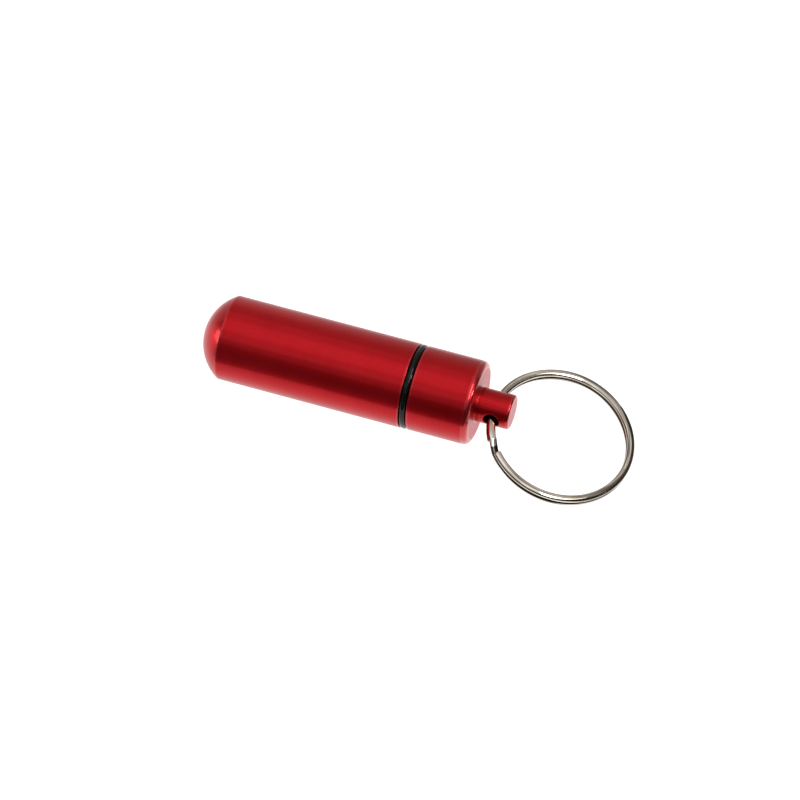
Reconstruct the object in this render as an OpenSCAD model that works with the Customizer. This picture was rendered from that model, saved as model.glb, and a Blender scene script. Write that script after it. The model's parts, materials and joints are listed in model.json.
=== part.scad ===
// Keychain capsule: a domed vial and a cap that screw together on an O-ring,
// with a two-turn split ring through the drilled stem of the cap.
// The capsule lies on its side along X, with the split ring towards +X.
// The origin is under the middle of the whole object, on the surface it lies on.

/* [Vial] */
// Outside diameter of the vial
vial_d = 14; // [13.6:0.1:15]
// Length of the straight side, from the dome's edge to the shoulder
vial_side = 31.1; // [20:0.1:45]
// Radius of the sphere that shapes the domed end
dome_r = 8.1; // [7.8:0.1:10]
// Diameter of the chamber
bore_d = 9.4; // [8:0.1:9.6]
// Metal left between the chamber's drilled point and the dome's tip
dome_wall = 2; // [1.5:0.1:3]

/* [Screw joint] */
// Distance the thread moves the vial in one turn
pitch = 1; // [0.9:0.05:1.2]
// Number of turns of thread on the neck
thread_turns = 4; // [3:0.5:4.5]
// Diameter of the neck between the threads
neck_d = 10.9; // [10.8:0.05:11]
// Height of the thread, measured along the radius
thread_h = 0.45; // [0.35:0.01:0.5]
// Gap between the neck's thread and the cap's thread, along the radius
thread_gap = 0.1; // [0.08:0.01:0.12]
// Length of the neck, from the shoulder to the vial's mouth
neck_len = 7.2; // [7:0.1:7.4]

/* [O-ring] */
// Gap between the shoulder and the cap's rim, filled by the squeezed O-ring
seal_gap = 1.15; // [1:0.05:1.3]
// Play on each side of the O-ring
seal_play = 0.02; // [0.01:0.01:0.04]

/* [Cap] */
// Outside diameter of the cap
cap_d = 13.9; // [13.5:0.1:15]
// Length of the cap without its stem
cap_len = 10.35; // [9.5:0.05:14]
// Radius of the rounded edge round the end face
cap_edge_r = 0.95; // [0.5:0.05:1.2]
// Bevel round the rim
rim_bevel = 0.2; // [0.1:0.05:0.3]
// Depth of the threaded socket
socket_depth = 7; // [6.8:0.1:7.4]

/* [Stem] */
// Diameter of the stem
stem_d = 5.7; // [5:0.1:6.5]
// Length of the stem
stem_len = 5.65; // [5:0.05:7]
// Radius of the rounded edge at the stem's end
stem_edge_r = 0.35; // [0.2:0.05:0.5]
// Diameter of the cross hole
hole_d = 2.7; // [2.7:0.1:3.2]
// Distance from the cap's end face to the middle of the cross hole
hole_reach = 2.8; // [2.7:0.1:3.2]

/* [Split ring] */
// Outside diameter of the split ring
ring_d = 24.4; // [22:0.1:28]
// Width of the wire, along the ring's radius
wire_w = 1.3; // [1:0.05:1.35]
// Thickness of the wire, along the ring's axis
wire_t = 0.88; // [0.6:0.01:0.9]
// Air between the two turns of wire
turn_gap = 0.03; // [0.02:0.01:0.04]
// Angle from the cross hole to the kink, round the ring
kink_at = 31; // [25:1:150]
// Angle over which the wire steps from one turn to the other
kink_span = 10; // [8:0.5:15]
// Distance that the wire hangs below the middle of the cross hole
ring_drop = 0.18; // [0:0.01:0.2]
// Sideways lean of the ring in its hole, in degrees
ring_lean = 2; // [0:0.5:3]

/* [Hidden] */
$fn = 96;
cut = 0.5; // how far a cutting shape runs past the face it opens
bite = 0.15; // how deep a thread's foot sits in the metal under it

// Vial
vial_r = vial_d / 2;
bore_r = bore_d / 2;
dome_h = dome_r - sqrt(dome_r * dome_r - vial_r * vial_r);
drill_h = bore_r * tan(31); // a drill's 118 degree point
mouth_bevel = 0.3;

// Threads
neck_r = neck_d / 2;
neck_crest_r = neck_r + thread_h;
socket_r = neck_crest_r + thread_gap;
socket_crest_r = neck_r + thread_gap;
thread_foot_w = 0.7 * pitch;
thread_crest_w = 0.2 * pitch;
thread_steps = 32; // facets in each turn of thread
fade_steps = 8; // facets over which a thread rises from nothing
neck_thread_at = 1.9; // middle of the first turn, from the shoulder
lead_in = 0.35;

// O-ring
seal_in_r = neck_r + 0.05;
seal_corner_r = 0.5;

// Cap and stem
cap_r = cap_d / 2;
stem_r = stem_d / 2;
hole_r = hole_d / 2;
hole_bevel = 0.15;

// Split ring
ring_r = ring_d / 2;
ring_mean_r = ring_r - wire_w / 2;
turn_rise = wire_t + turn_gap; // distance between the middles of the two turns
ring_t = turn_rise + wire_t;
bow = stem_r * stem_r / (2 * ring_mean_r); // how far the wire bows inside the stem
ring_reach = ring_mean_r - bow / 2; // from the hole's middle to the ring's middle
ring_tilt = asin((vial_r - ring_drop - ring_t / 2) / (ring_reach + ring_r));
corner_turn = 0.5; // degrees that each turn runs on into the corner of the kink
end_gap = 1.5; // degrees between each cut end of the wire and the kink
corner_lap = 0.1; // how far the straight of the kink runs on past each of its corners
outline_power = 0.9; // 1 makes the wire's section an ellipse, 0 a rectangle
wire_outline = [
  for (k = [0:15])
    let (
      a = 22.5 * k + 11.25,
      across = sign(cos(a)) * pow(abs(cos(a)), outline_power),
      along = sign(sin(a)) * pow(abs(sin(a)), outline_power)
    )
    [wire_w / 2 * across, wire_t / 2 * along]
];

// Places along X
capsule_len = dome_h + vial_side + seal_gap + cap_len + stem_len;
hole_to_ring_end = (ring_reach + ring_r) * cos(ring_tilt) + (turn_rise / 2 - ring_drop) * sin(ring_tilt);
total_len = capsule_len - stem_len + hole_reach + hole_to_ring_end;
dome_tip_x = -total_len / 2;
shoulder_x = dome_tip_x + dome_h + vial_side;
rim_x = shoulder_x + seal_gap;
face_x = rim_x + cap_len;
hole_x = face_x + hole_reach;

// Stands a shape that was turned about Z on the capsule's axis, its base at x
module on_axis(x) {
  translate([x, 0, vial_r])
    rotate([0, 90, 0])
      children();
}

// A rod with one rounded edge, at its far end
module round_ended_rod(r, len, edge_r) {
  rotate_extrude() {
    square([r, len - edge_r]);
    square([r - edge_r, len]);
    intersection() {
      translate([r - edge_r, len - edge_r])
        circle(r = edge_r);
      square([r, len]);
    }
  }
}

// One corner row of a thread: its foot, its crest and its foot again, at step i
function thread_row(i, steps, foot_r, crest_r) =
  let (
    turn = 360 * i / thread_steps,
    z = pitch * i / thread_steps,
    rise = min(1, i / fade_steps, (steps - i) / fade_steps),
    outward = sign(crest_r - foot_r),
    foot = foot_r - outward * bite,
    crest = foot_r - outward * bite / 3 + (crest_r - foot_r + outward * bite / 3) * rise
  )
  [
    for (corner = [
      [foot, -thread_foot_w / 2],
      [crest, -thread_crest_w / 2],
      [crest, thread_crest_w / 2],
      [foot, thread_foot_w / 2]
    ])
      [corner[0] * cos(turn), corner[0] * sin(turn), z + corner[1]]
  ];

// Skin of triangles over rows of points, each row a loop of the same size
function skin_faces(rows, row_size) =
  concat(
    [[for (k = [0:row_size - 1]) k]],
    [
      for (i = [0:rows - 2], k = [0:row_size - 1], half = [0:1])
        let (
          a = i * row_size + k,
          b = i * row_size + (k + 1) % row_size
        )
        half == 0 ? [a, a + row_size, b + row_size] : [a, b + row_size, b]
    ],
    [[for (k = [row_size - 1:-1:0]) (rows - 1) * row_size + k]]
  );

// A right-hand helical ridge about Z that stands on foot_r and reaches crest_r
module thread(foot_r, crest_r, turns) {
  steps = round(turns * thread_steps);
  rows = [for (i = [0:steps]) thread_row(i, steps, foot_r, crest_r)];
  inward = crest_r < foot_r;
  faces = skin_faces(len(rows), 4);
  polyhedron(
    points = [for (row = rows, point = row) point],
    faces = inward ? faces : [for (face = faces) [for (k = [len(face) - 1:-1:0]) face[k]]],
    convexity = 10
  );
}

// Domed vial with its threaded neck and its drilled chamber
module vial() {
  body_len = dome_h + vial_side;
  color("firebrick") {
    on_axis(dome_tip_x) {
      difference() {
        union() {
          intersection() {
            translate([0, 0, dome_r])
              sphere(r = dome_r);
            cylinder(r = vial_r, h = dome_h);
          }
          translate([0, 0, dome_h])
            cylinder(r = vial_r, h = vial_side);
          translate([0, 0, body_len - cut])
            cylinder(r = neck_r, h = neck_len + cut - mouth_bevel);
          translate([0, 0, body_len + neck_len - mouth_bevel])
            cylinder(r1 = neck_r, r2 = neck_r - mouth_bevel, h = mouth_bevel);
          translate([0, 0, body_len + neck_thread_at])
            thread(neck_r, neck_crest_r, thread_turns - fade_steps / thread_steps);
        }
        translate([0, 0, dome_wall + drill_h])
          cylinder(r = bore_r, h = body_len + neck_len);
        translate([0, 0, dome_wall])
          cylinder(r1 = 0, r2 = bore_r, h = drill_h);
      }
    }
  }
}

// O-ring, squeezed flat-sided between the shoulder and the rim
module seal_ring() {
  width = seal_gap - 2 * seal_play;
  height = vial_r - seal_in_r;
  color("black") {
    on_axis(shoulder_x + seal_play) {
      rotate_extrude() {
        translate([seal_in_r, 0]) {
          translate([0, seal_corner_r])
            square([height, width - 2 * seal_corner_r]);
          translate([seal_corner_r, 0])
            square([height - 2 * seal_corner_r, width]);
          for (r = [seal_corner_r, height - seal_corner_r])
            for (z = [seal_corner_r, width - seal_corner_r])
              translate([r, z])
                circle(r = seal_corner_r);
        }
      }
    }
  }
}

// Cap with its threaded socket and its cross-drilled stem
module cap() {
  color("firebrick") {
    difference() {
      union() {
        difference() {
          on_axis(rim_x) {
            cylinder(r1 = cap_r - rim_bevel, r2 = cap_r, h = rim_bevel);
            translate([0, 0, rim_bevel])
              round_ended_rod(cap_r, cap_len - rim_bevel, cap_edge_r);
            translate([0, 0, cap_len - cut])
              round_ended_rod(stem_r, stem_len + cut, stem_edge_r);
          }
          on_axis(rim_x) {
            translate([0, 0, -cut])
              cylinder(r = socket_r, h = socket_depth + cut);
            cylinder(r1 = socket_r + lead_in, r2 = socket_r, h = lead_in);
          }
        }
        on_axis(shoulder_x)
          translate([0, 0, neck_thread_at - pitch / 2])
            thread(socket_r, socket_crest_r, thread_turns);
      }
      cross_hole();
    }
  }
}

// Hole through the stem, eased at both mouths
module cross_hole() {
  translate([hole_x, 0, vial_r]) {
    rotate([90, 0, 0])
      cylinder(r = hole_r, h = stem_d + 2 * cut, center = true);
    for (side = [90, -90])
      rotate([side, 0, 0])
        translate([0, 0, stem_r - 2 * hole_bevel])
          cylinder(r1 = hole_r, r2 = hole_r + 2 * hole_bevel, h = 2 * hole_bevel);
  }
}

// A turn of wire about Z at one level, from one angle to another
module wire_turn(level, from, to) {
  rotate([0, 0, from])
    rotate_extrude(angle = to - from)
      translate([ring_mean_r, level])
        polygon(wire_outline);
}

// The step where the wire crosses from the upper turn to the lower one
module wire_kink(from, to) {
  run = 2 * ring_mean_r * sin((to - from) / 2);
  slope = atan(turn_rise / run);
  rotate([0, 0, (from + to) / 2])
    translate([ring_mean_r * cos((to - from) / 2), 0, 0])
      rotate([-90 - slope, 0, 0])
        linear_extrude(height = run / cos(slope) + 2 * corner_lap, center = true)
          polygon(wire_outline);
}

// Split ring of flattened wire, two turns, hanging from the cross hole
module split_ring() {
  kink_from = 180 + kink_at;
  kink_to = kink_from + kink_span;
  color("silver") {
    translate([hole_x, 0, vial_r]) {
      rotate([ring_lean, ring_tilt, 0]) {
        translate([ring_reach, 0, -ring_drop]) {
          wire_turn(turn_rise / 2, kink_to + end_gap, kink_from + 360 + corner_turn);
          wire_kink(kink_from, kink_to);
          wire_turn(-turn_rise / 2, kink_to - corner_turn, kink_from + 360 - end_gap);
        }
      }
    }
  }
}

vial();
seal_ring();
cap();
split_ring();
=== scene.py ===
# Looks for the keychain capsule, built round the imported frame.
# Lengths are millimetres until MM turns them into Blender's metres. The lights and the floor are in metres.
import json
import math

import bmesh
import bpy
from mathutils import Matrix, Vector


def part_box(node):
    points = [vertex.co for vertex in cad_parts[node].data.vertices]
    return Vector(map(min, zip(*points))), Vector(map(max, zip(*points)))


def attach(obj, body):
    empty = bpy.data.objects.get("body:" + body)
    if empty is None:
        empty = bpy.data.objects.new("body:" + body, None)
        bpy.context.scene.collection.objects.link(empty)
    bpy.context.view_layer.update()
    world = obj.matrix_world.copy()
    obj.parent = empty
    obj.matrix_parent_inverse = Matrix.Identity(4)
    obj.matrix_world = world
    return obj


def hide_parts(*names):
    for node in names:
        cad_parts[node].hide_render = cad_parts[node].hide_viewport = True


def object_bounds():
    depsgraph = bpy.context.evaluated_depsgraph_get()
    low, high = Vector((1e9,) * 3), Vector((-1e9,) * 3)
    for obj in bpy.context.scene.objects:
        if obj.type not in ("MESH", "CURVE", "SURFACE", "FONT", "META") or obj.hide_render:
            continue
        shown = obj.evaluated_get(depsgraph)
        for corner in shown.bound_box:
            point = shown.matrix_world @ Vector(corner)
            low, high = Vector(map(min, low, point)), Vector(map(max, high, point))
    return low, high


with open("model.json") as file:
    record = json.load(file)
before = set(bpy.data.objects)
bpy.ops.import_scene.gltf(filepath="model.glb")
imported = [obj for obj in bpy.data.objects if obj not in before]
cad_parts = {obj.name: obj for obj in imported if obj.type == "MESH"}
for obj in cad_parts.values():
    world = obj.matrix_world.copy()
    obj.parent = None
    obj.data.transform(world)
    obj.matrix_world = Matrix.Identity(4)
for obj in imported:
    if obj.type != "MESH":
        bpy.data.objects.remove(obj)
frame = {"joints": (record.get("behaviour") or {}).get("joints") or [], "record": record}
cad_low, cad_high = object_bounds()

MM = 0.001
TINY = 1e-6

# ---------------------------------------------------------------- places, from the frame

vial_low, vial_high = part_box("vial")
cap_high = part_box("cap")[1]
seal_low, seal_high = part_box("seal_ring")
joints = {joint["name"]: joint for joint in frame["joints"]}
mounts = {mount["name"]: mount for mount in frame["record"]["mounts"]}

AXIS_Z = (vial_low[2] + vial_high[2]) / 2 / MM
TIP_X = vial_low[0] / MM
MOUTH_X = vial_high[0] / MM
STEM_END_X = cap_high[0] / MM
HOLE_X = joints["ring_swing"]["pos_m"][0] / MM

# ---------------------------------------------------------------- sizes, as in the CAD

VIAL_R = 7.0
DOME_R = 8.1
NECK_LEN = 7.2
NECK_R = 5.45
BORE_R = 4.7
DOME_WALL = 2.0
DRILL_ANGLE = math.radians(31)
MOUTH_BEVEL = 0.3

PITCH = 1.0
THREAD_H = 0.45
THREAD_FOOT_W = 0.7
THREAD_CREST_W = 0.2
THREAD_FADE = 0.25
NECK_THREAD_AT = 1.9
NECK_TURNS = 3.75
CAP_TURNS = 4.0

CAP_R = 6.95
CAP_LEN = 10.35
CAP_EDGE_R = 0.95
RIM_BEVEL = 0.2
SOCKET_R = 6.0
SOCKET_DEPTH = 7.0
LEAD_IN = 0.35

STEM_R = 2.85
STEM_LEN = 5.65
STEM_EDGE_R = 0.35
HOLE_R = 1.35
HOLE_EASE = 0.15

SEAL_IN_R = 5.5
SEAL_CORNER_R = 0.5

# The ring and its wire are a hair smaller than in the CAD, so that their rounder skin stays in its box.
RING_R = 12.19
WIRE_W = 1.28
WIRE_T = 0.87
TURN_RISE = 0.91
KINK_FROM = 211.0
KINK_SPAN = 10.0
END_GAP = 1.5

SHOULDER_X = MOUTH_X - NECK_LEN
# The cap's box starts where its thread does, just short of the rim, so the rim is found from the stem's end.
FACE_X = STEM_END_X - STEM_LEN
RIM_X = FACE_X - CAP_LEN

# ---------------------------------------------------------------- lathe work

MERGE_DISTANCE = 1e-4
AROUND = 192
ROUND_STEPS = 6
BROAD_ROUNDING = 0.3
SHARP_WEAR = 1.0
BROAD_WEAR = 0.5
LONG_LEG = 0.7
CLOSEST_ROWS = 0.02
THREAD_ROWS = 0.05
THREAD_WEAR = 0.6

# distance from a rounded corner, and the share of the corner's wear that is left there
EDGE_ROWS = ((0.03, 0.6), (0.12, 0.25), (0.3, 0.0))


def around_axis(x, r, turn):
    """A point at radius r round the capsule's axis. Turn 0 is straight down, a quarter turn towards +Y."""
    return Vector((x, r * math.sin(turn), AXIS_Z - r * math.cos(turn))) * MM


def arc(centre_x, radius, start, end, steps):
    """Corners along an arc about a point on the axis, by angle from -X, for outline()."""
    angles = [start + (end - start) * k / steps for k in range(steps + 1)]
    return [(centre_x - radius * math.cos(a), radius * math.sin(a), 0) for a in angles]


def outline(corners):
    """Points and their wear along a line through corners (x, r, rounding). Only rounded corners are worn."""
    points = []
    for i, (x, r, rounding) in enumerate(corners):
        here = Vector((x, r))
        if not rounding:
            points.append((here, 0.0))
            continue
        back = (Vector(corners[i - 1][:2]) - here).normalized()
        ahead = (Vector(corners[i + 1][:2]) - here).normalized()
        half = back.angle(ahead) / 2
        centre = here + (back + ahead).normalized() * rounding / math.sin(half)
        arm = here + back * rounding / math.tan(half) - centre
        last = here + ahead * rounding / math.tan(half) - centre
        sweep = math.atan2(arm.x * last.y - arm.y * last.x, arm.dot(last))
        broad = rounding > BROAD_ROUNDING
        steps = ROUND_STEPS * (2 if broad else 1)
        wear = BROAD_WEAR if broad else SHARP_WEAR
        for k in range(steps + 1):
            points.append((centre + Matrix.Rotation(sweep * k / steps, 2) @ arm, wear))
    return points


def refine(points, step, marks=()):
    """Adds rows along the long legs: close ones beside a rounded corner, and the marked x places."""
    rows = []
    for (start, start_wear), (end, end_wear) in zip(points, points[1:]):
        rows.append((start.x, start.y, start_wear))
        length = (end - start).length
        if length < LONG_LEG:
            continue
        places = {}
        for reach, share in EDGE_ROWS:
            if start_wear:
                places[reach / length] = share * start_wear
            if end_wear:
                places[1 - reach / length] = share * end_wear
        low, high = min(places, default=0), max(places, default=1)
        count = max(1, round(length / step))
        shares = [k / count for k in range(1, count)]
        if abs(end.y - start.y) < TINY:
            on_leg = [(mark - start.x) / (end.x - start.x) for mark in marks]
            shares = [t for t in on_leg if 0 < t < 1] or shares
        for t in shares:
            if all(abs(t - other) * length > CLOSEST_ROWS for other in places) and low < t < high:
                places.setdefault(t, 0.0)
        for t in sorted(places):
            spot = start.lerp(end, t)
            rows.append((spot.x, spot.y, places[t]))
    rows.append((points[-1][0].x, points[-1][0].y, points[-1][1]))
    return rows


def thread_height(x, turn, first_x, turns):
    """Share of the thread's full height at x and turn, for a right-hand helix that starts at first_x."""
    along = turn / math.tau + round((x - first_x) / PITCH - turn / math.tau)
    if not 0.0 <= along <= turns:
        return 0.0
    off = abs(x - first_x - along * PITCH)
    flank = (THREAD_FOOT_W - THREAD_CREST_W) / 2
    share = min(max((THREAD_FOOT_W / 2 - off) / flank, 0.0), 1.0)
    fade = min(1.0, along / THREAD_FADE, (turns - along) / THREAD_FADE)
    return share * share * (3 - 2 * share) * fade


class Turned:
    """A mesh of rings round the capsule's axis, with a wear value at each point."""

    def __init__(self):
        self.mesh = bmesh.new()
        self.wear = self.mesh.verts.layers.float.new("wear")
        self.rings = []
        self.xs = []

    def point(self, place, wear=0.0):
        vertex = self.mesh.verts.new(place)
        vertex[self.wear] = wear
        return vertex

    def ring(self, x, r, wear, swell=None):
        """One ring; swell(x, turn) gives how much is added to its radius there, and its wear."""
        self.xs.append(x)
        if r < TINY:
            self.rings.append([self.point(around_axis(x, 0, 0), wear)])
            return
        vertices = []
        for k in range(AROUND):
            turn = math.tau * k / AROUND
            more, more_wear = swell(x, turn) if swell else (0.0, 0.0)
            vertices.append(self.point(around_axis(x, r + more, turn), max(wear, more_wear)))
        self.rings.append(vertices)

    def skin(self, closed=False, leave_out=None):
        """Faces between neighbouring rings, apart from the cells that leave_out(row, column) names."""
        pairs = list(zip(self.rings, self.rings[1:]))
        if closed:
            pairs.append((self.rings[-1], self.rings[0]))
        for row, (a, b) in enumerate(pairs):
            for k in range(AROUND):
                if leave_out and leave_out(row, k):
                    continue
                n = (k + 1) % AROUND
                if len(a) == 1:
                    self.mesh.faces.new((a[0], b[n], b[k]))
                elif len(b) == 1:
                    self.mesh.faces.new((a[k], a[n], b[0]))
                else:
                    self.mesh.faces.new((a[k], a[n], b[n], b[k]))

    def finish(self, name, material, body, node):
        return finish_piece(self.mesh, name, material, body, node)


def make_object(mesh, name, material):
    """Turns a bmesh into an object of one material."""
    data = bpy.data.meshes.new(name)
    mesh.to_mesh(data)
    mesh.free()
    data.materials.append(material)
    made = bpy.data.objects.new(name, data)
    bpy.context.scene.collection.objects.link(made)
    return made


def finish_piece(mesh, name, material, body, node):
    """Turns a bmesh into a smooth piece that rides on a body and stands for a CAD node."""
    bmesh.ops.remove_doubles(mesh, verts=mesh.verts, dist=MERGE_DISTANCE * MM)
    bmesh.ops.recalc_face_normals(mesh, faces=mesh.faces)
    piece = make_object(mesh, name, material)
    piece.data.polygons.foreach_set("use_smooth", [True] * len(piece.data.polygons))
    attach(piece, body)
    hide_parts(node)
    return piece


# ---------------------------------------------------------------- the four pieces

EASED = 0.08
CRISP = 0.05
VIAL_EASED = 0.1
DRILL_CORNER_R = 0.2
SOCKET_CORNER_R = 0.15
DOME_STEPS = 44
VIAL_ROWS = 0.8
CAP_ROWS = 0.5


def make_vial(material):
    """The domed vial, its threaded neck and its drilled chamber, as one turned skin."""
    dome_centre = TIP_X + DOME_R
    edge_angle = math.asin(VIAL_R / DOME_R)
    edge_x = dome_centre - DOME_R * math.cos(edge_angle)
    dome = arc(dome_centre, DOME_R, 0, edge_angle, DOME_STEPS)[:-1]
    drill_x = TIP_X + DOME_WALL + BORE_R * math.tan(DRILL_ANGLE)
    outside = dome + [
        (edge_x, VIAL_R, VIAL_EASED),
        (SHOULDER_X, VIAL_R, VIAL_EASED),
        (SHOULDER_X, NECK_R, CRISP),
        (MOUTH_X - MOUTH_BEVEL, NECK_R, CRISP),
        (MOUTH_X, NECK_R - MOUTH_BEVEL, CRISP),
        (MOUTH_X, BORE_R, EASED),
        (drill_x, BORE_R, DRILL_CORNER_R),
        (TIP_X + DOME_WALL, 0, 0),
    ]
    turned = Turned()
    first = SHOULDER_X + NECK_THREAD_AT

    def swell(x, turn):
        share = thread_height(x, turn, first, NECK_TURNS)
        return THREAD_H * share, THREAD_WEAR * share

    for x, r, wear in thread_rows(refine(outline(outside), VIAL_ROWS), NECK_R):
        threaded = abs(r - NECK_R) < TINY
        turned.ring(x, r, wear, swell if threaded else None)
    turned.skin()
    return turned.finish("vial_body", material, "vial", "vial")


def thread_rows(rows, radius):
    """The same rows, with close ones wherever two neighbours lie at the threaded radius."""
    close = []
    for here, after in zip(rows, rows[1:] + [None]):
        close.append(here)
        if after and abs(here[1] - radius) < TINY and abs(after[1] - radius) < TINY:
            count = max(1, math.ceil(abs(after[0] - here[0]) / THREAD_ROWS))
            for k in range(1, count):
                share = k / count
                close.append((here[0] + (after[0] - here[0]) * share, radius, 0.0))
    return close


def make_seal(material):
    """The squeezed O-ring."""
    low, high = seal_low[0] / MM, seal_high[0] / MM
    middle = (SEAL_IN_R + VIAL_R) / 2
    corners = [
        (low, middle, 0),
        (low, VIAL_R, SEAL_CORNER_R),
        (high, VIAL_R, SEAL_CORNER_R),
        (high, SEAL_IN_R, SEAL_CORNER_R),
        (low, SEAL_IN_R, SEAL_CORNER_R),
        (low, middle, 0),
    ]
    turned = Turned()
    for place, _ in outline(corners)[:-1]:
        turned.ring(place.x, place.y, 0.0)
    turned.skin(closed=True)
    return turned.finish("seal_o_ring", material, "seal_ring", "seal_ring")


PATCH_CELLS = 40
PATCH_HALF = 1.8
PATCH_RINGS = 8
PATCH_CROWDING = 1.5
EASE_STEPS = 6
WALL_STEPS = 12


def make_cap(material):
    """The cap, its threaded socket and its cross-drilled stem, as one turned skin."""
    outside = [
        (RIM_X + SOCKET_DEPTH, 0, 0),
        (RIM_X + SOCKET_DEPTH, SOCKET_R, SOCKET_CORNER_R),
        (RIM_X + LEAD_IN, SOCKET_R, CRISP),
        (RIM_X, SOCKET_R + LEAD_IN, CRISP),
        (RIM_X, CAP_R - RIM_BEVEL, CRISP),
        (RIM_X + RIM_BEVEL, CAP_R, EASED),
        (FACE_X, CAP_R, CAP_EDGE_R),
        (FACE_X, STEM_R, EASED),
        (STEM_END_X, STEM_R, STEM_EDGE_R),
        (STEM_END_X, 0, 0),
    ]
    marks = [HOLE_X + PATCH_HALF * (2 * k / PATCH_CELLS - 1) for k in range(PATCH_CELLS + 1)]
    first = SHOULDER_X + NECK_THREAD_AT - PITCH / 2

    def swell(x, turn):
        share = thread_height(x, turn, first, CAP_TURNS)
        return -THREAD_H * share, THREAD_WEAR * share

    turned = Turned()
    for x, r, wear in thread_rows(refine(outline(outside), CAP_ROWS, marks), SOCKET_R):
        threaded = abs(r - SOCKET_R) < TINY
        turned.ring(x, r, wear, swell if threaded else None)

    # Only the stem reaches as far as the cross hole, so a single row lies there.
    first_row = next(row for row, x in enumerate(turned.xs) if abs(x - marks[0]) < TINY)
    side_columns = [AROUND // 4, AROUND * 3 // 4]

    def in_patch(row, column):
        in_rows = first_row <= row < first_row + PATCH_CELLS
        return in_rows and any(-PATCH_CELLS // 2 <= column - c < PATCH_CELLS // 2 for c in side_columns)

    turned.skin(leave_out=in_patch)
    for column in side_columns:
        add_hole_mouth(turned, first_row, column)
    return turned.finish("cap_body", material, "cap", "cap")


def patch_edge(turned, first_row, column):
    """The vertices round the square patch that a hole mouth leaves open, in order."""
    half = PATCH_CELLS // 2
    left, right = column - half, column + half
    top = first_row + PATCH_CELLS
    places = [(first_row, k) for k in range(left, right)]
    places += [(row, right) for row in range(first_row, top)]
    places += [(top, k) for k in range(right, left, -1)]
    places += [(row, left) for row in range(top, first_row, -1)]
    return [turned.rings[row][k % AROUND] for row, k in places]


def add_hole_mouth(turned, first_row, column):
    """Fills the patch with rings of faces: they close in on the cross hole, then run down its wall."""
    edge = patch_edge(turned, first_row, column)
    side = 1 if column < AROUND / 2 else -1
    directions = []
    for vertex in edge:
        off = Vector((vertex.co.x / MM - HOLE_X, vertex.co.z / MM - AXIS_Z))
        directions.append((off, off.normalized()))

    def on_stem(place, depth):
        across = math.sqrt(STEM_R**2 - place.y**2) - depth
        return Vector((HOLE_X + place.x, side * across, AXIS_Z + place.y)) * MM

    loops = [edge]
    rim = HOLE_R + HOLE_EASE
    for k in range(1, PATCH_RINGS + 1):
        share = 1 - (1 - k / PATCH_RINGS) ** PATCH_CROWDING
        loops.append([turned.point(on_stem(off.lerp(d * rim, share), 0)) for off, d in directions])
    for k in range(1, EASE_STEPS + 1):
        a = math.pi / 2 * k / EASE_STEPS
        reach = HOLE_R + HOLE_EASE * (1 - math.sin(a))
        depth = HOLE_EASE * (1 - math.cos(a))
        loops.append([turned.point(on_stem(d * reach, depth), SHARP_WEAR) for _, d in directions])
    for k in range(1, WALL_STEPS + 1):
        share = 1 - k / WALL_STEPS
        loop = []
        for _, d in directions:
            mouth = on_stem(d * HOLE_R, HOLE_EASE)
            loop.append(turned.point(Vector((mouth.x, mouth.y * share, mouth.z))))
        loops.append(loop)
    count = len(edge)
    for outer, inner in zip(loops, loops[1:]):
        for k in range(count):
            n = (k + 1) % count
            turned.mesh.faces.new((outer[k], outer[n], inner[n], inner[k]))


WIRE_POINTS = 28
WIRE_SQUARENESS = 0.9
COARSE_DEGREES = 2.0
FINE_DEGREES = 0.5
END_BEVEL = 0.07


def wire_level(angle):
    """Height of the wire's middle along its two turns: it steps down once, at the kink."""
    share = min(max((angle - KINK_FROM - 360) / KINK_SPAN, 0.0), 1.0)
    return TURN_RISE * (0.5 - share)


def wire_section(k):
    """Offset across and along the ring's axis of the wire's k-th skin point: a flattened round."""
    a = math.tau * (k + 0.5) / WIRE_POINTS
    across = math.copysign(abs(math.cos(a)) ** WIRE_SQUARENESS, math.cos(a))
    along = math.copysign(abs(math.sin(a)) ** WIRE_SQUARENESS, math.sin(a))
    return WIRE_W / 2 * across, WIRE_T / 2 * along


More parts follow.
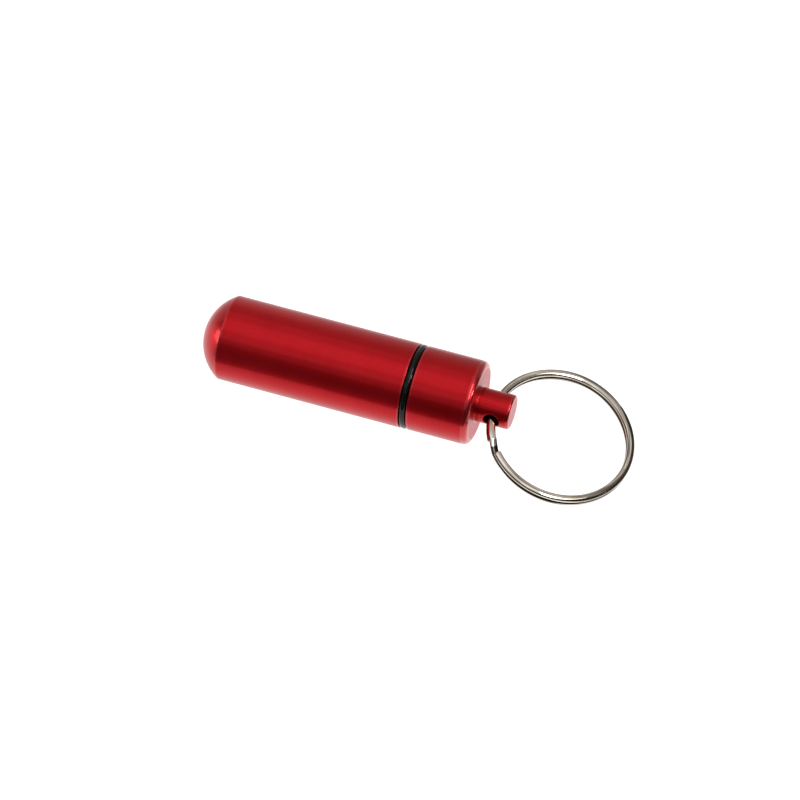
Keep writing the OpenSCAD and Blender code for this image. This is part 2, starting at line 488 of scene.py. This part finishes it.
def make_split_ring(material):
    """The wire swept round its two turns, with blunt cut ends."""
    loop = mounts["key_loop"]
    normal = Vector(loop["axis"]).normalized()
    ahead = Vector((0, 1, 0)).cross(normal).normalized()
    aside = normal.cross(ahead)
    place = Matrix((ahead, aside, normal)).transposed().to_4x4()
    place.translation = loop["pos_m"]
    start = KINK_FROM + KINK_SPAN + END_GAP
    end = KINK_FROM + 720 - END_GAP
    kink_low, kink_high = KINK_FROM + 360, KINK_FROM + 360 + KINK_SPAN
    angles = [start]
    while angles[-1] < end - TINY:
        fine = kink_low - COARSE_DEGREES < angles[-1] < kink_high
        angles.append(min(angles[-1] + (FINE_DEGREES if fine else COARSE_DEGREES), end))
    mean_r = RING_R - WIRE_W / 2
    bevel_turn = math.degrees(END_BEVEL / mean_r)
    angles[1:-1] = [start + bevel_turn, *angles[1:-1], end - bevel_turn]

    mesh = bmesh.new()
    wear = mesh.verts.layers.float.new("wear")
    run = mesh.verts.layers.float_vector.new("run")
    turn_gap_shade = mesh.verts.layers.float.new("turn_gap_shade")
    rows = []
    for angle in angles:
        cut_end = angle in (start, end)
        other_turn = -math.copysign(1.0, wire_level(angle))
        a = math.radians(angle)
        row = []
        for k in range(WIRE_POINTS):
            across, along = wire_section(k)
            if cut_end:
                across -= math.copysign(min(abs(across), END_BEVEL), across)
                along -= math.copysign(min(abs(along), END_BEVEL), along)
            r = mean_r + across
            spot = Vector((r * math.cos(a), r * math.sin(a), wire_level(angle) + along))
            vertex = mesh.verts.new(place @ (spot * MM))
            vertex[wear] = SHARP_WEAR if cut_end else 0.0
            vertex[run] = Vector((a * mean_r, across, along)) * MM
            # Painted shade: how far this point faces the other turn, which later darkens the wire between
            # the turns.
            vertex[turn_gap_shade] = max(0.0, other_turn * along / (WIRE_T / 2))
            row.append(vertex)
        rows.append(row)
    for here, after in zip(rows, rows[1:]):
        for k in range(WIRE_POINTS):
            n = (k + 1) % WIRE_POINTS
            mesh.faces.new((here[k], here[n], after[n], after[k]))
    for row in (rows[0], rows[-1]):
        middle = mesh.verts.new(sum((v.co for v in row), Vector()) / WIRE_POINTS)
        middle[run] = row[0][run]
        for k in range(WIRE_POINTS):
            mesh.faces.new((row[k], row[(k + 1) % WIRE_POINTS], middle))
    return finish_piece(mesh, "split_ring_wire", material, "split_ring", "split_ring")


# ---------------------------------------------------------------- materials


class Nodes:
    """A material's node tree, with short ways to add to it."""

    def __init__(self, name):
        self.material = bpy.data.materials.new(name)
        self.material.use_nodes = True
        self.tree = self.material.node_tree
        self.shader = self.tree.nodes["Principled BSDF"]

    def add(self, kind, **settings):
        node = self.tree.nodes.new(kind)
        for key, value in settings.items():
            setattr(node, key, value)
        return node

    def plug(self, value, socket):
        if isinstance(value, bpy.types.NodeSocket):
            self.tree.links.new(value, socket)
        else:
            socket.default_value = value

    def math(self, operation, *values):
        node = self.add("ShaderNodeMath", operation=operation)
        for value, socket in zip(values, node.inputs):
            self.plug(value, socket)
        return node.outputs[0]

    def vector(self, x, y, z=0.0):
        node = self.add("ShaderNodeCombineXYZ")
        for value, socket in zip((x, y, z), node.inputs):
            self.plug(value, socket)
        return node.outputs[0]

    def noise(self, place, scale, detail=2.0, roughness=0.5):
        node = self.add("ShaderNodeTexNoise")
        self.plug(place, node.inputs["Vector"])
        node.inputs["Scale"].default_value = scale
        node.inputs["Detail"].default_value = detail
        node.inputs["Roughness"].default_value = roughness
        return node.outputs["Fac"]

    def spread(self, value, low, high, from_low=0.3, from_high=0.7):
        node = self.add("ShaderNodeMapRange")
        self.plug(value, node.inputs["Value"])
        node.inputs["From Min"].default_value = from_low
        node.inputs["From Max"].default_value = from_high
        node.inputs["To Min"].default_value = low
        node.inputs["To Max"].default_value = high
        return node.outputs["Result"]

    def mix(self, share, a, b):
        node = self.add("ShaderNodeMix", data_type="RGBA")
        self.plug(share, node.inputs["Factor"])
        self.plug(a, node.inputs["A"])
        self.plug(b, node.inputs["B"])
        return node.outputs["Result"]

    def bump(self, height, distance, strength, under=None):
        node = self.add("ShaderNodeBump")
        node.inputs["Strength"].default_value = strength
        node.inputs["Distance"].default_value = distance
        self.plug(height, node.inputs["Height"])
        if under:
            self.plug(under, node.inputs["Normal"])
        return node.outputs["Normal"]

    def attribute(self, name, output):
        return self.add("ShaderNodeAttribute", attribute_name=name).outputs[output]

    def place(self):
        return self.add("ShaderNodeTexCoord").outputs["Object"]

    def set(self, **values):
        for name, value in values.items():
            self.plug(value, self.shader.inputs[name.replace("_", " ")])


def lathe_place(nodes):
    """(distance along the capsule, distance from its axis): the same all round, as a lathe's marks are."""
    split = nodes.add("ShaderNodeSeparateXYZ")
    nodes.plug(nodes.place(), split.inputs[0])
    height = nodes.math("SUBTRACT", split.outputs["Z"], AXIS_Z * MM)
    squares = nodes.math("POWER", height, 2.0), nodes.math("POWER", split.outputs["Y"], 2.0)
    radius = nodes.math("SQRT", nodes.math("ADD", *squares))
    return nodes.vector(split.outputs["X"], radius)


def red_anodised():
    """Satin aluminium under a red film: turning marks, grain, paler sharp edges, glossier rounded ones."""
    nodes = Nodes("red_anodised")
    turning = lathe_place(nodes)
    marks = nodes.noise(turning, 9000, 3.0, 0.6)
    wide_marks = nodes.noise(turning, 900, 2.0)
    grain = nodes.noise(nodes.place(), 7000, 2.0)
    clouds = nodes.noise(nodes.place(), 180, 2.0)
    wear = nodes.attribute("wear", "Fac")
    film = nodes.mix(nodes.spread(clouds, 0.0, 1.0), (0.385, 0.0022, 0.006, 1), (0.425, 0.004, 0.009, 1))
    film = nodes.mix(nodes.spread(grain, 0.0, 0.35), film, (0.33, 0.0015, 0.004, 1))
    film = nodes.mix(nodes.spread(wide_marks, 0.0, 0.2), film, (0.48, 0.007, 0.012, 1))
    patchy = nodes.math("MULTIPLY", wear, nodes.spread(clouds, 0.05, 0.3))
    film = nodes.mix(patchy, film, (0.62, 0.08, 0.08, 1))
    rough = nodes.math("ADD", nodes.spread(marks, 0.33, 0.41), nodes.spread(grain, -0.03, 0.03))
    rough = nodes.math("SUBTRACT", rough, nodes.math("MULTIPLY", wear, 0.06))
    normal = nodes.bump(marks, 0.004 * MM, 0.5)
    normal = nodes.bump(grain, 0.004 * MM, 0.4, normal)
    nodes.set(Base_Color=film, Metallic=1.0, Roughness=rough, Normal=normal)
    handled = nodes.math("MULTIPLY", wear, nodes.math("SUBTRACT", 1.0, wear))
    nodes.set(Coat_Weight=nodes.spread(handled, 0.18, 0.6, 0.02, 0.25), Coat_Roughness=0.1, Coat_IOR=1.5)
    return nodes.material


def black_rubber():
    """Moulded nitrile rubber: near black and shiny, with a fine grain and a little dust."""
    nodes = Nodes("black_rubber")
    grain = nodes.noise(nodes.place(), 6000, 3.0)
    dust = nodes.noise(nodes.place(), 900, 4.0, 0.7)
    dusty = nodes.spread(dust, 0.0, 1.0, 0.5, 0.8)
    colour = nodes.mix(dusty, (0.002, 0.002, 0.002, 1), (0.012, 0.011, 0.01, 1))
    nodes.set(Base_Color=colour, Roughness=nodes.spread(grain, 0.06, 0.1))
    nodes.set(Normal=nodes.bump(grain, 0.002 * MM, 0.3), Specular_IOR_Level=0.2)
    return nodes.material


def nickel_plate():
    """Bright nickel on drawn wire: lines along it, dark drawing marks along it that are partly painted dark
    reflections, and painted shade on each turn's flank that faces the other.
    """
    nodes = Nodes("nickel_plate")
    run = nodes.attribute("run", "Vector")
    stretch = nodes.add("ShaderNodeVectorMath", operation="MULTIPLY")
    nodes.plug(run, stretch.inputs[0])
    stretch.inputs[1].default_value = (0.04, 1.0, 1.0)
    lines = nodes.noise(stretch.outputs[0], 14000, 3.0, 0.6)
    patches = nodes.noise(nodes.place(), 500, 3.0)
    colour = nodes.mix(nodes.spread(patches, 0.0, 1.0), (0.8, 0.74, 0.66, 1), (0.62, 0.54, 0.45, 1))
    colour = nodes.mix(nodes.spread(lines, 0.0, 0.3), colour, (0.86, 0.82, 0.76, 1))
    wear = nodes.attribute("wear", "Fac")
    colour = nodes.mix(nodes.math("MULTIPLY", wear, 0.5), colour, (0.35, 0.33, 0.30, 1))
    # Dark marks along the wire: partly drawing marks, partly painted dark reflections.
    drawn_marks_and_painted_reflection = nodes.noise(stretch.outputs[0], 3200, 2.0)
    colour = nodes.mix(nodes.spread(drawn_marks_and_painted_reflection, 0.0, 0.85, 0.42, 0.6), colour, (0.15, 0.115, 0.085, 1))
    # Painted shade: the flank facing the other turn is darkened almost to black, where shade falls between
    # the turns.
    painted_gap_shade = nodes.spread(nodes.attribute("turn_gap_shade", "Fac"), 0.0, 0.97, 0.25, 0.6)
    colour = nodes.mix(painted_gap_shade, colour, (0.03, 0.024, 0.02, 1))
    rough = nodes.math("ADD", nodes.spread(lines, 0.02, 0.06), nodes.math("MULTIPLY", wear, 0.2))
    nodes.set(Base_Color=colour, Metallic=1.0, Roughness=rough)
    nodes.set(Normal=nodes.bump(lines, 0.002 * MM, 0.3))
    return nodes.material


# ---------------------------------------------------------------- floor, light and camera

AZIMUTH = math.radians(18.48)
ELEVATION = math.radians(52.98)
AIM = Vector((TIP_X + 34.325, -3.31, 7.0)) * MM
CAMERA_REACH = 704.6 * MM
LENS = 197.5
SENSOR = 36.0
NEAREST = 10 * MM

FLOOR_REACH = 3.0
FLOOR_GLOW = 1.05
ROOM_GLOW = 0.28
FLAG_STEPS = 48
FLAG_GAP = 32.0
FLAG_DOME_END = 64.0
FLAG_RING_END = 46.0
FLAG_SPREAD = 1.2
FLAG_TOP = 30.0
FLAG_FADE = (-30.0, 20.0)

# name, from and to in degrees round from the front towards +X, glow at the dome's end and at the ring's
FLAGS = (
    ("front_flag", (-62, 130), (0.2, 0.03)),
    ("back_flag", (130, 256), (0.8, 0.45)),
)

# name, tilt, lean, reach, size, radiance, colour
LIGHTS = (
    ("overhead", 86, -8, 0.6, (0.7, 0.35), 0.38, (1, 1, 1)),
    ("overhead_wide", 86, -8, 0.65, (0.8, 1.0), 0.56, (1, 1, 1)),
    ("front", 42, -8, 0.75, (0.8, 0.4), 0.2, (1, 1, 1)),
    ("back", 142, -4, 0.75, (0.9, 0.55), 0.36, (1, 0.88, 0.72)),
    ("key", 82, 28, 0.6, (0.16, 0.42), 8.0, (1, 1, 1)),
    ("key_low", 92, 64, 0.6, (0.07, 0.09), 38.0, (1, 1, 1)),
    ("side", 38, -80, 0.6, (0.16, 0.2), 6.0, (1, 1, 1)),
)


def make_camera():
    data = bpy.data.cameras.new("camera")
    data.lens = LENS
    data.sensor_width = SENSOR
    data.clip_start = NEAREST
    camera = bpy.data.objects.new("camera", data)
    level = math.cos(ELEVATION)
    back = Vector((math.sin(AZIMUTH) * level, -math.cos(AZIMUTH) * level, math.sin(ELEVATION)))
    camera.location = AIM + back * CAMERA_REACH
    camera.rotation_mode = "QUATERNION"
    camera.rotation_quaternion = (-back).to_track_quat("-Z", "Y")
    bpy.context.scene.collection.objects.link(camera)
    bpy.context.scene.camera = camera


def make_light(name, tilt, lean, reach, size, radiance, colour):
    """A soft panel facing the object: tilt is in degrees up from the front floor, lean towards +X."""
    data = bpy.data.lights.new(name, "AREA")
    data.shape = "RECTANGLE"
    data.size, data.size_y = size
    data.energy = radiance * math.pi * size[0] * size[1]
    data.color = colour
    light = bpy.data.objects.new(name, data)
    over = Matrix.Rotation(math.radians(90 - tilt), 4, "X")
    aside = Matrix.Rotation(math.radians(lean), 4, "Y")
    light.matrix_world = over @ aside @ Matrix.Translation((0, 0, reach))
    light.visible_camera = False
    bpy.context.scene.collection.objects.link(light)


def make_floor():
    """A plain pale floor, lit a little from below as a light table is."""
    paper = Nodes("floor_paper")
    grain = paper.noise(paper.place(), 400, 3.0)
    tone = paper.mix(paper.spread(grain, 0.0, 1.0), (0.3, 0.3, 0.3, 1), (0.32, 0.32, 0.32, 1))
    paper.set(Base_Color=tone, Roughness=0.8, Specular_IOR_Level=0.0)
    paper.set(Emission_Color=(1, 1, 1, 1), Emission_Strength=FLOOR_GLOW)
    mesh = bmesh.new()
    bmesh.ops.create_grid(mesh, x_segments=8, y_segments=8, size=FLOOR_REACH)
    floor = make_object(mesh, "floor", paper.material)
    floor.location.z = min(cad_low[2], 0.0)


def make_flag(name, turns, glow):
    """A curved card low round the object, seen only in reflections. Its glow changes from dome to ring."""
    card = Nodes(name)
    split = card.add("ShaderNodeSeparateXYZ")
    card.plug(card.place(), split.inputs[0])
    weave = card.noise(card.place(), 900, 2.0)
    tone = card.mix(card.spread(weave, 0.0, 1.0), (0.02, 0.02, 0.02, 1), (0.03, 0.03, 0.03, 1))
    fade_from, fade_to = (x * MM for x in FLAG_FADE)
    along = card.spread(split.outputs["X"], glow[0], glow[1], fade_from, fade_to)
    card.set(Base_Color=tone, Roughness=0.9, Specular_IOR_Level=0.0)
    card.set(Emission_Color=(1, 1, 1, 1), Emission_Strength=along)

    mesh = bmesh.new()
    rows = []
    for k in range(FLAG_STEPS + 1):
        a = math.radians(turns[0] + (turns[1] - turns[0]) * k / FLAG_STEPS)
        length = FLAG_RING_END if math.sin(a) > 0 else FLAG_DOME_END
        foot = Vector((math.sin(a) * length, -math.cos(a) * FLAG_GAP, 0))
        top = Vector((foot.x * FLAG_SPREAD, foot.y * FLAG_SPREAD, FLAG_TOP))
        rows.append([mesh.verts.new(foot * MM), mesh.verts.new(top * MM)])
    for here, after in zip(rows, rows[1:]):
        mesh.faces.new((here[0], after[0], after[1], here[1]))
    flag = make_object(mesh, name, card.material)
    for ray in ("camera", "diffuse", "shadow", "transmission"):
        setattr(flag, f"visible_{ray}", False)


def make_room():
    """A dim, even room round the lights."""
    world = bpy.data.worlds.new("room")
    world.use_nodes = True
    background = world.node_tree.nodes["Background"]
    background.inputs["Color"].default_value = (1, 1, 1, 1)
    background.inputs["Strength"].default_value = ROOM_GLOW
    bpy.context.scene.world = world


red = red_anodised()
make_vial(red)
make_cap(red)
make_seal(black_rubber())
make_split_ring(nickel_plate())
make_floor()
for flag in FLAGS:
    make_flag(*flag)
make_room()
for light in LIGHTS:
    make_light(*light)
make_camera()
bpy.context.scene.view_settings.view_transform = "Standard"
